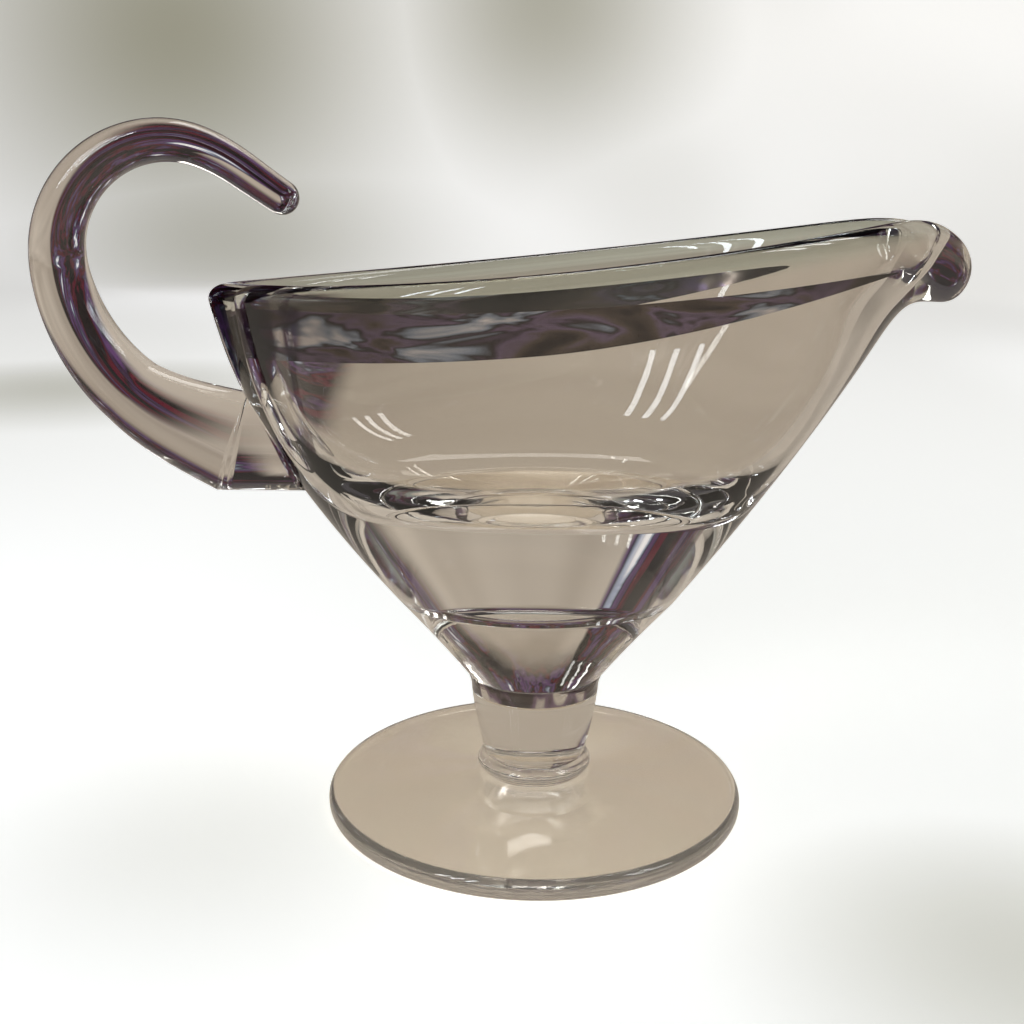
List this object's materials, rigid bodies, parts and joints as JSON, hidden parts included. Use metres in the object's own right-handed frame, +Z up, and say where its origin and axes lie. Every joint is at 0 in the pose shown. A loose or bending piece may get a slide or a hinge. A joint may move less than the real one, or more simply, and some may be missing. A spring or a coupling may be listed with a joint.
{
  "type": "footed sauce boat",
  "caption": "Footed glass sauce boat with a sloping leaf-shaped bowl, a rolled pouring lip, a solid hook handle and a silver band under the rim.",
  "frame": {"origin": "middle of the foot's flat underside", "axes": "+Z up, +X towards the pouring lip, the handle towards -X"},
  "size_m": [0.1882, 0.09, 0.1437],
  "materials": {
    "clear_glass": "clear fire-polished glass with a faint warm tone",
    "silver": "thin fired silver, darkened by tarnish"
  },
  "bodies": {
    "root": {"foot": "clear_glass", "stem_collar": "clear_glass", "stem": "clear_glass", "neck_wafer": "clear_glass", "bowl_base": "clear_glass", "bowl": "clear_glass", "handle": "clear_glass", "handle_root": "clear_glass", "silver_band": "silver"}
  },
  "joints": []
}
